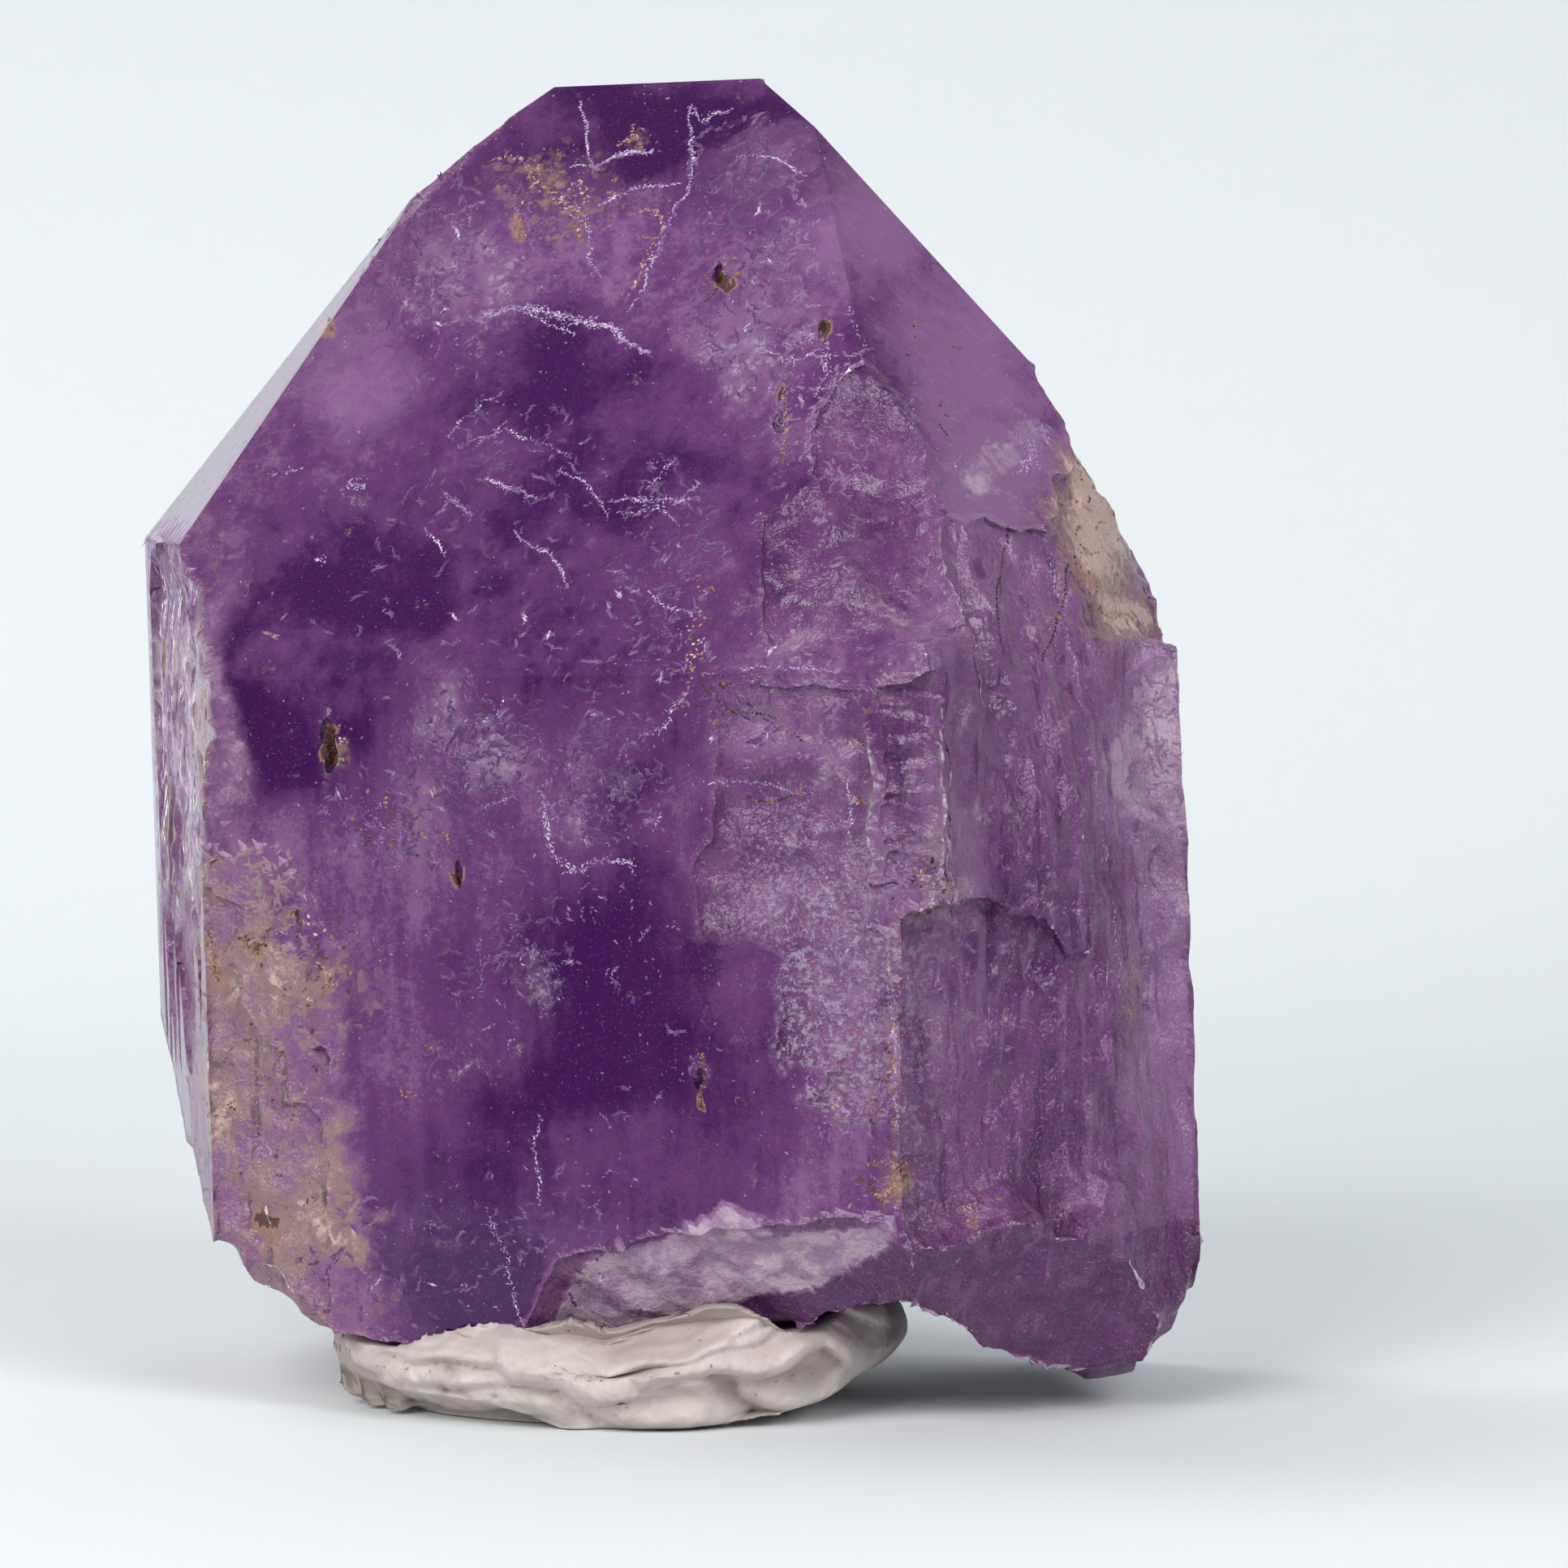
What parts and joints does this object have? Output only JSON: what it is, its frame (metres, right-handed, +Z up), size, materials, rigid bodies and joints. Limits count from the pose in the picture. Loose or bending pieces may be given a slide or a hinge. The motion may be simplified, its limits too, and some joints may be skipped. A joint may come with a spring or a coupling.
{
  "type": "amethyst crystal",
  "caption": "Single amethyst crystal with flat prism and pyramid faces, a chipped shoulder and a broken base, standing upright in a pressed pad of pale mounting putty.",
  "frame": {"origin": "middle of the underside of the whole piece, on the surface it stands on", "axes": "+Z up along the standing crystal, -Y towards the large glossy front face, +X to the chipped shoulder"},
  "size_m": [0.0696, 0.056, 0.0853],
  "materials": {
    "amethyst": "glossy natural faces, frosted where broken, cloudy and veined inside, with iron stains",
    "putty": "dull kneaded putty with folds, creases and small specks"
  },
  "bodies": {
    "root": {"crystal": "amethyst", "mounting_putty": "putty"}
  },
  "joints": []
}
